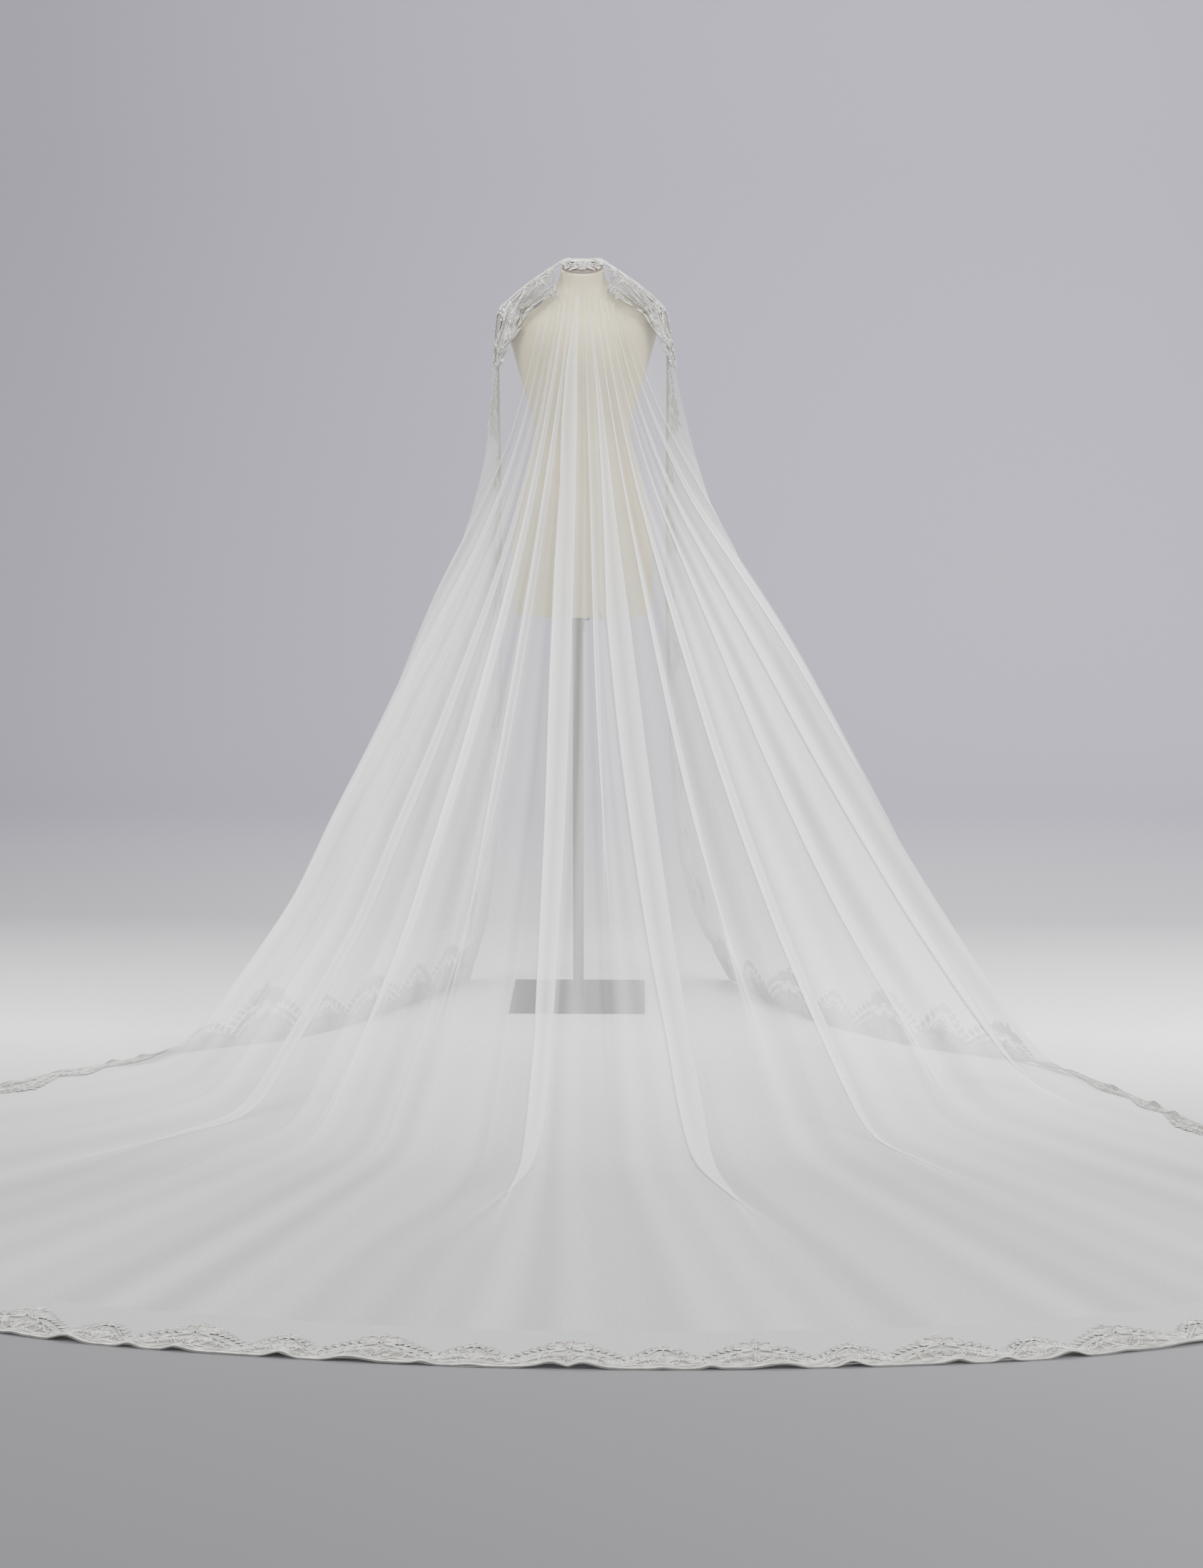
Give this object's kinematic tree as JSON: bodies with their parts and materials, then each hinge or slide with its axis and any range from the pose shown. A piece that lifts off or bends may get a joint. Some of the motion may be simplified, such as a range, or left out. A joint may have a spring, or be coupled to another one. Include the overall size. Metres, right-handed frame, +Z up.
{
  "type": "bridal veil on a dress form stand",
  "caption": "Long tulle bridal veil with a scalloped lace border, draped over a dress form on a pole stand, its train spread on the floor.",
  "frame": {"origin": "on the floor, on the axis of the stand's pole, at the middle of the base plate's underside", "axes": "+Z up, -Y towards the front where the train runs out, +X to the right of someone who faces the front of the form"},
  "size_m": [2.9126, 2.5306, 1.7435],
  "materials": {
    "tulle": "sheer soft ivory net",
    "lace": "corded ivory lace with a light silver sheen",
    "form_cloth": "matt cream cloth cover",
    "cap_wood": "satin dark brown",
    "stand_steel": "brushed",
    "plate_steel": "brushed, flat"
  },
  "bodies": {
    "root": {"tulle_left_side": "tulle", "tulle_left_front": "tulle", "tulle_centre_left": "tulle", "tulle_centre_right": "tulle", "tulle_right_front": "tulle", "tulle_right_side": "tulle", "lace_top": "lace", "lace_drop_left": "lace", "lace_drop_right": "lace", "lace_hem_left_side": "lace", "lace_hem_left_front": "lace", "lace_hem_centre_left": "lace", "lace_hem_centre_right": "lace", "lace_hem_right_front": "lace", "lace_hem_right_side": "lace", "torso": "form_cloth", "neck_cap": "cap_wood", "pole": "stand_steel", "height_collar": "stand_steel", "thumb_screw": "stand_steel", "base_plate": "plate_steel"}
  },
  "joints": []
}
